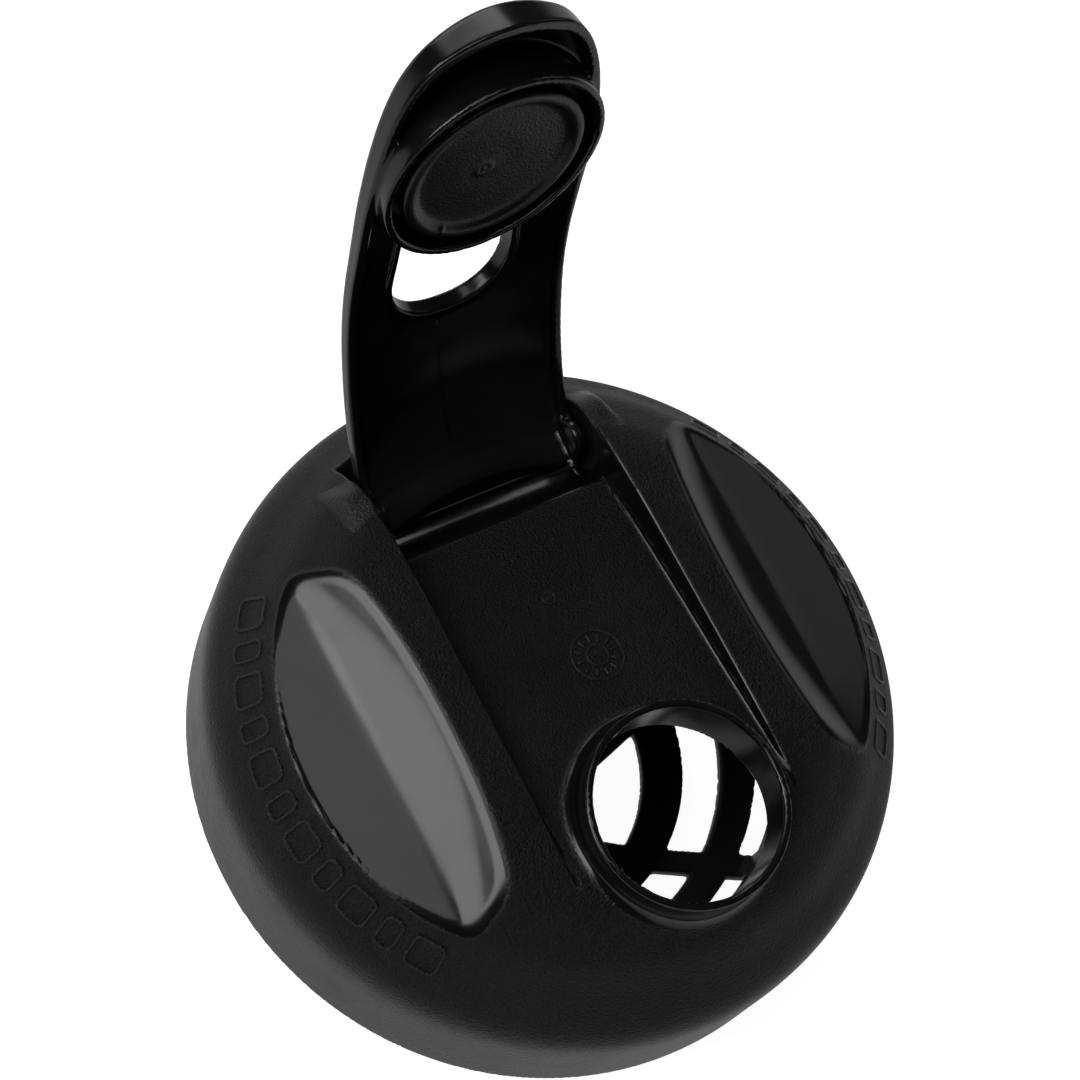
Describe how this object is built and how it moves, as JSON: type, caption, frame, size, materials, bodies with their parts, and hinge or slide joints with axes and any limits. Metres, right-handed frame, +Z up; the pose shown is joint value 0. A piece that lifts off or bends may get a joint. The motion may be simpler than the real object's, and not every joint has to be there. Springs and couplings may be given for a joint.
{
  "type": "shaker bottle lid",
  "caption": "Screw lid of a protein shaker bottle: raised drinking spout, flip cap with a sealing plug shown open, and a bowl-shaped mixing grid clipped underneath.",
  "frame": {"origin": "middle of the open lid's footprint, on the flat bottom of the mixing grid that it stands on", "axes": "+Z up along the lid's screw axis, -Y to the side of the drinking spout, +Y to the flip cap's hinge"},
  "size_m": [0.098, 0.1097, 0.1199],
  "materials": {
    "lid_plastic": "black polypropylene with a fine eroded grain on top, satin on the skirt, gloss in the scoops",
    "cap_plastic": "black polypropylene, smooth and semi-gloss",
    "plug_plastic": "black sealing plug, smooth gloss",
    "grid_plastic": "black polypropylene, smooth satin",
    "gasket_rubber": "dark grey silicone"
  },
  "bodies": {
    "lid": {"lid_shell": "lid_plastic", "neck_gasket": "gasket_rubber", "mixing_grid": "grid_plastic"},
    "cap": {"cap_arm": "cap_plastic", "seal_plug": "plug_plastic"}
  },
  "joints": [
    {"name": "cap_hinge", "type": "hinge", "parent": "lid", "child": "cap", "pos_m": [0, 0.02443, 0.0483], "axis": [-1, 0, 0], "range_deg": [-102, 8]}
  ]
}
